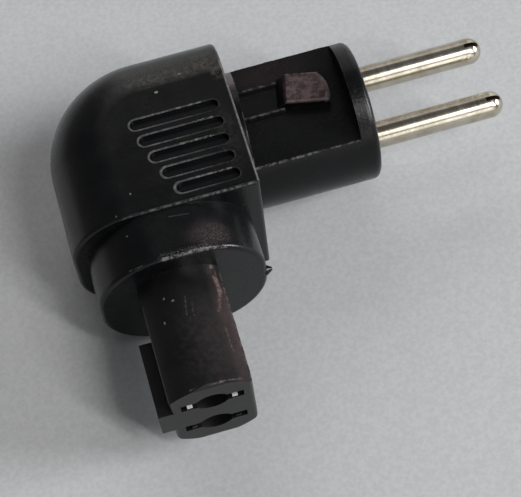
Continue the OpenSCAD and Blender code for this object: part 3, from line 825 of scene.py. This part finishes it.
@dataclass(frozen=True)
class GripLips:
    """The worn lips of the grip slots on both flats, in millimetres."""

    starts: tuple[float, ...] = GRIP_STARTS
    end: float = GRIP_END
    pitch: float = GRIP_PITCH
    half: float = GRIP_HALF
    level: float = 7.15
    radius: float = 0.075
    least: float = 0.55
    sunk: float = 0.4
    count: int = 220
    steps_per_knot: int = 3
    around: int = 8
    first_seed: int = 5
    seeds_per_row: int = 10

    def outline(self, start: float, row: float) -> tuple[np.ndarray, np.ndarray]:
        """Returns the outline of a slot and its outward direction, point by point.

        The outline is a straight run each way and a half circle at each end, walked left turning at even
        steps: a step's share of the way round says which of the four it is on.

        Args:
            start: X of the first end's centre.
            row: Y of the slot's middle.

        Returns:
            Points in plan and outward directions in plan.
        """
        length = self.end - start
        arc = math.pi * self.half
        way = np.linspace(0.0, 2.0 * (length + arc), self.count, endpoint=False)
        turn = np.clip((way - length) / self.half, 0.0, math.pi)
        turn = turn + np.clip((way - 2.0 * length - arc) / self.half, 0.0, math.pi) - math.pi / 2.0
        outward = np.stack([np.cos(turn), np.sin(turn)], axis=-1)
        along = start + np.clip(way, 0.0, length) - np.clip(way - length - arc, 0.0, length)
        middle = np.stack([along, np.full(self.count, row)], axis=-1)
        return middle + self.half * outward, outward

    def skin(self, start: float, row: float, side: int, seed: int) -> Skin:
        """Returns the lip of one slot: a bead of uneven radius along the outline, level with the flat.

        The point at an angle round the bead is the outline moved out by the cosine and a sunk share, and up
        by the sine, times the radius. The bead's middle lies a radius under the flat.

        Args:
            start: X of the first end's centre.
            row: Y of the slot's middle.
            side: 1 on the upper flat, -1 on the lower.
            seed: Start of the chance row.

        Returns:
            The lip's skin.
        """
        plan, outward = self.outline(start, row)
        uneven = ragged(self.count, self.count // self.steps_per_knot, seed)
        radius = self.radius * (self.least + (1.0 - self.least) * uneven)[:, None]
        angle = np.linspace(0.0, 2.0 * math.pi, self.around, endpoint=False)[None, :]
        out = radius * (np.cos(angle) + self.sunk)
        height = self.level - radius + radius * np.sin(angle)
        flat = plan[:, None, :] + out[..., None] * outward[:, None, :]
        rings = np.concatenate([flat, side * height[..., None]], axis=-1)
        return Skin.wrap(rings if side > 0 else rings[:, ::-1], closed=True)

    def build(self, material: bpy.types.Material) -> bpy.types.Object:
        """Makes the lips of all slots as one piece."""
        skins = [self.skin(start, -self.pitch * row, side, self.seeds_per_row * row + self.first_seed + side)
                 for side in (1, -1) for row, start in enumerate(self.starts)]
        return make_piece("grip_lips", skins, material, "soft_black")


@dataclass(frozen=True)
class Burr:
    """A ragged burr along a moulded edge, in millimetres."""

    name: str
    slot: str
    start: Place
    end: Place
    lean: Place
    height: float
    seed: int
    width: float = 0.07
    step: float = 0.06
    run_out: float = 0.4
    least_taper: float = 0.02
    least_height: float = 0.15
    least_width: float = 0.6
    sway: float = 0.25
    steps_per_height: int = 3
    steps_per_width: int = 4
    steps_per_sway: int = 6
    around: int = 8

    def build(self, material: bpy.types.Material) -> bpy.types.Object:
        """Makes the burr: rings along the edge, each an oval that leans out by an uneven height.

        The point at an angle round the oval is the edge moved across by the cosine times half the width, and
        out along the lean by the sine times the height there. Both shrink to almost nothing at the two ends.

        Args:
            material: The finish.

        Returns:
            The piece.
        """
        first, last, lean = (np.array(v) for v in (self.start, self.end, self.lean))
        way = last - first
        length = float(np.linalg.norm(way))
        lean = lean / np.linalg.norm(lean)
        across = np.cross(way / length, lean)
        count = int(length / self.step)
        share = np.linspace(0.0, 1.0, count)
        taper = np.clip(np.minimum(share, 1.0 - share) * length / self.run_out, self.least_taper, 1.0)
        uneven = ragged(count, count // self.steps_per_height, self.seed) ** 2
        height = self.height * taper * (self.least_height + (1.0 - self.least_height) * uneven)
        uneven = ragged(count, count // self.steps_per_width, self.seed + 1)
        half = 0.5 * self.width * taper * (self.least_width + (1.0 - self.least_width) * uneven)
        uneven = ragged(count, count // self.steps_per_sway, self.seed + 2)
        shift = self.sway * self.width * (uneven - 0.5)
        angle = np.linspace(0.0, 2.0 * math.pi, self.around, endpoint=False)
        sideways = shift[:, None] + half[:, None] * np.cos(angle)
        outward = height[:, None] * np.sin(angle)
        edge = first + share[:, None] * way
        rings = edge[:, None, :] + sideways[..., None] * across + outward[..., None] * lean
        return make_piece(self.name, [Skin.wrap(rings, closed=False)], material, self.slot)


BURRS = (
    Burr("plug_burr_near", "plug_black", start=(-11.0, -5.144, 3.55), end=(-1.7, -5.144, 3.55),
         lean=(0.0, -0.48, 0.88), height=0.13, seed=3),
    Burr("plug_burr_far", "plug_black", start=(-10.4, 5.144, 3.55), end=(-1.7, 5.144, 3.55),
         lean=(0.0, 0.48, 0.88), height=0.05, seed=7),
    Burr("elbow_burr_near", "soft_black", start=(-21.6, -8.447, 7.047), end=(-11.75, -8.447, 7.047),
         lean=(0.0, -0.71, 0.71), height=0.09, seed=11),
    Burr("elbow_burr_plug", "soft_black", start=(-11.503, 3.2, 7.047), end=(-11.503, -8.2, 7.047),
         lean=(0.71, 0.0, 0.71), height=0.06, seed=17),
    Burr("stem_burr_right", "socket_black", start=(-16.65, -13.25, 3.5), end=(-16.65, -23.8, 3.5),
         lean=(0.71, 0.0, 0.71), height=0.07, seed=23),
)


@dataclass(frozen=True)
class Table:
    """The pale table that the part lies on, with a faint mottle and fine dimples."""

    half: float = 0.6
    dark: Colour = (0.475, 0.484, 0.495)
    light: Colour = (0.535, 0.544, 0.555)
    mottle_cells: float = 2600.0
    mottle_span: Pair = (0.3, 0.7)
    dimple_cells: float = 3000.0
    dimple_depth: float = 3e-5
    dimple_strength: float = 0.15
    roughness: float = 0.65
    specular: float = 0.15

    def finish(self) -> bpy.types.Material:
        """Makes the table's material.

        Returns:
            The material.
        """
        tree = Tree.of_material("pale_table")
        place = tree.place()
        mottle = tree.span(tree.noise(place, self.mottle_cells), *self.mottle_span)
        colour = tree.blend(mottle, self.dark, self.light)
        normal = tree.bump(tree.noise(place, self.dimple_cells), self.dimple_depth, self.dimple_strength)
        shader = tree.add("ShaderNodeBsdfPrincipled",
                          {"Base Color": colour, "Roughness": self.roughness,
                           "Specular IOR Level": self.specular, "Normal": normal})
        return tree.finish(shader)

    def lay(self, height: float) -> bpy.types.Object:
        """Lays the table under the part.

        Args:
            height: Z of the table.

        Returns:
            The floor object.
        """
        corners = [(-self.half, -self.half, height), (self.half, -self.half, height),
                   (self.half, self.half, height), (-self.half, self.half, height)]
        mesh = bpy.data.meshes.new("table")
        mesh.from_pydata(corners, [], [(0, 1, 2, 3)])
        mesh.materials.append(self.finish())
        floor = bpy.data.objects.new("table", mesh)
        bpy.context.scene.collection.objects.link(floor)
        floor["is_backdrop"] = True
        return floor


@dataclass(frozen=True)
class Viewpoint:
    """The camera at the photograph's place: its eye in millimetres, its turns in degrees and its lens."""

    eye: Place = (-23.2016, -79.5534, 128.4687)
    azimuth: float = -8.850
    elevation: float = 61.575
    roll: float = -7.697
    lens: float = 117.45
    sensor: float = 36.0
    clip: Pair = (0.01, 10.0)

    def set_up(self) -> bpy.types.Object:
        """Sets up the camera, turned by azimuth, elevation and roll.

        Returns:
            The camera object.
        """
        turn, tilt, roll = (math.radians(v) for v in (self.azimuth, self.elevation, self.roll))
        right = Vector((math.cos(turn), math.sin(turn), 0.0))
        back = Vector((math.sin(turn) * math.cos(tilt), -math.cos(turn) * math.cos(tilt), math.sin(tilt)))
        up = back.cross(right)
        across = right * math.cos(roll) + up * math.sin(roll)
        upward = up * math.cos(roll) - right * math.sin(roll)
        data = bpy.data.cameras.new("camera")
        data.sensor_fit = "HORIZONTAL"
        data.sensor_width = self.sensor
        data.lens = self.lens
        data.clip_start, data.clip_end = self.clip
        camera = bpy.data.objects.new("camera", data)
        axes = Matrix((across, upward, back)).transposed().to_4x4()
        camera.matrix_world = Matrix.Translation(Vector(metres(self.eye))) @ axes
        bpy.context.scene.collection.objects.link(camera)
        bpy.context.scene.camera = camera
        return camera


@dataclass(frozen=True)
class Lamp:
    """A soft rectangular lamp: its place, width and height, watts, colour, and whether gloss shows it."""

    name: str
    place: Place
    size: Pair
    power: float
    colour: Colour
    glossy: bool = True

    def hang(self, aim: Place) -> bpy.types.Object:
        """Hangs the lamp so that it faces a point.

        Args:
            aim: The point that it faces.

        Returns:
            The lamp object.
        """
        data = bpy.data.lights.new(self.name, "AREA")
        data.shape = "RECTANGLE"
        data.size, data.size_y = self.size
        data.energy = self.power
        data.color = self.colour
        lamp = bpy.data.objects.new(self.name, data)
        turn = (Vector(aim) - Vector(self.place)).to_track_quat("-Z", "Y")
        lamp.matrix_world = Matrix.Translation(Vector(self.place)) @ turn.to_matrix().to_4x4()
        lamp.visible_glossy = self.glossy
        bpy.context.scene.collection.objects.link(lamp)
        return lamp


LAMPS = (
    Lamp("key", place=(0.42, -0.5375, 0.731), size=(0.085, 0.56), power=5.0, colour=(1.0, 0.985, 0.96)),
    Lamp("side", place=(0.65, -0.16, 0.3), size=(0.25, 0.25), power=4.4, colour=(0.95, 0.98, 1.0)),
    Lamp("low", place=(0.12, -0.68, 0.13), size=(0.7, 0.16), power=0.4, colour=(1.0, 0.98, 0.94)),
    Lamp("fill", place=(-0.05, 0.62, 0.4), size=(0.4, 0.4), power=1.35, colour=(1.0, 0.98, 0.97),
         glossy=False),
)


@dataclass(frozen=True)
class Sky:
    """A sky that is dim overhead, with a bright wall at the far side and a barred window in front.

    Each place is a part of a direction of length 1: how far right, how far back and how high it points. The
    window, and the dimmer strip of the wall opposite it, show only in reflections.
    """

    low: Colour = (0.16, 0.157, 0.155)
    overhead: Colour = (0.098, 0.1, 0.104)
    rise: Pair = (0.1, 0.7)
    wall_low: Colour = (0.9, 0.87, 0.855)
    wall_high: Colour = (1.45, 1.4, 1.37)
    wall_rise: Pair = (0.3, 0.7)
    wall_far: Pair = (0.6, 0.68)
    wall_side: Pair = (-0.05, 0.03)
    wall_lean: float = 0.1
    strip_middle: float = 0.2
    strip_fade: Pair = (0.12, 0.07)
    strip_level: float = 0.3
    window: Colour = (2.1, 2.1, 2.08)
    window_top: Pair = (-0.24, -0.4)
    window_sill: Pair = (0.22, 0.34)
    bar_height: float = 0.6
    bar_fade: Pair = (0.05, 0.1)

    def spread(self) -> bpy.types.World:
        """Makes the world.

        Returns:
            The world.
        """
        world = bpy.data.worlds.new("studio_sky")
        world.use_nodes = True
        bpy.context.scene.world = world
        tree = Tree(world.node_tree)
        tree.tree.nodes.clear()
        way = tree.add("ShaderNodeTexCoord").outputs["Generated"]
        right, far, height = tree.add("ShaderNodeSeparateXYZ", {0: way}).outputs
        glossy = tree.add("ShaderNodeLightPath").outputs["Is Glossy Ray"]
        strip = tree.times(tree.span(tree.apart(right, self.strip_middle), *self.strip_fade), glossy)
        colour = tree.blend(tree.span(height, *self.rise), self.low, self.overhead)
        wall = tree.blend(tree.span(height, *self.wall_rise), self.wall_low, self.wall_high)
        inside = tree.span(tree.math("ADD", right, tree.times(far, self.wall_lean)), *self.wall_side)
        shown = tree.times(tree.span(far, *self.wall_far), inside)
        shown = tree.times(shown, tree.span(strip, 0.0, 1.0, (1.0, self.strip_level)))
        colour = tree.blend(shown, colour, wall)
        pane = tree.times(tree.span(far, *self.window_top), tree.span(height, *self.window_sill))
        bar = tree.span(tree.apart(height, self.bar_height), *self.bar_fade)
        colour = tree.blend(tree.times(strip, tree.times(pane, bar)), colour, self.window)
        sky = tree.add("ShaderNodeBackground", {"Color": colour, "Strength": 1.0})
        output = tree.add("ShaderNodeOutputWorld")
        tree.feed(output.inputs[0], sky.outputs[0])
        return world


@dataclass(frozen=True)
class Studio:
    """The table, the camera, the lamps and the sky, with the point that the lamps face in millimetres."""

    table: Table = Table()
    viewpoint: Viewpoint = Viewpoint()
    lamps: tuple[Lamp, ...] = LAMPS
    sky: Sky = Sky()
    aim: Place = (-8.0, -6.0, 0.0)

    def build(self, height: float) -> None:
        """Sets the stage.

        Args:
            height: Z of the table.
        """
        self.table.lay(height)
        self.viewpoint.set_up()
        for lamp in self.lamps:
            lamp.hang(metres(self.aim))
        self.sky.spread()
        bpy.context.scene.view_settings.view_transform = "Standard"


def main() -> None:
    """Loads the frame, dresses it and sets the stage."""
    logging.basicConfig(level=logging.INFO, format="%(name)s: %(message)s")
    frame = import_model()
    cad_box = [list(corner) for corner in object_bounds()]
    effects = EffectGroups()
    made = {finish.name: finish.make(effects) for finish in dict.fromkeys(NODE_FINISHES.values())}
    for name, finish in NODE_FINISHES.items():
        dress(frame["nodes"][name], made[finish.name])
        LOG.info("dressed %s in %s", name, finish.name)
    GripLips().build(made[BODY.name])
    for burr in BURRS:
        burr.build(made[burr.slot])
    Studio().build(cad_box[0][2])


if __name__ == "__main__":
    main()
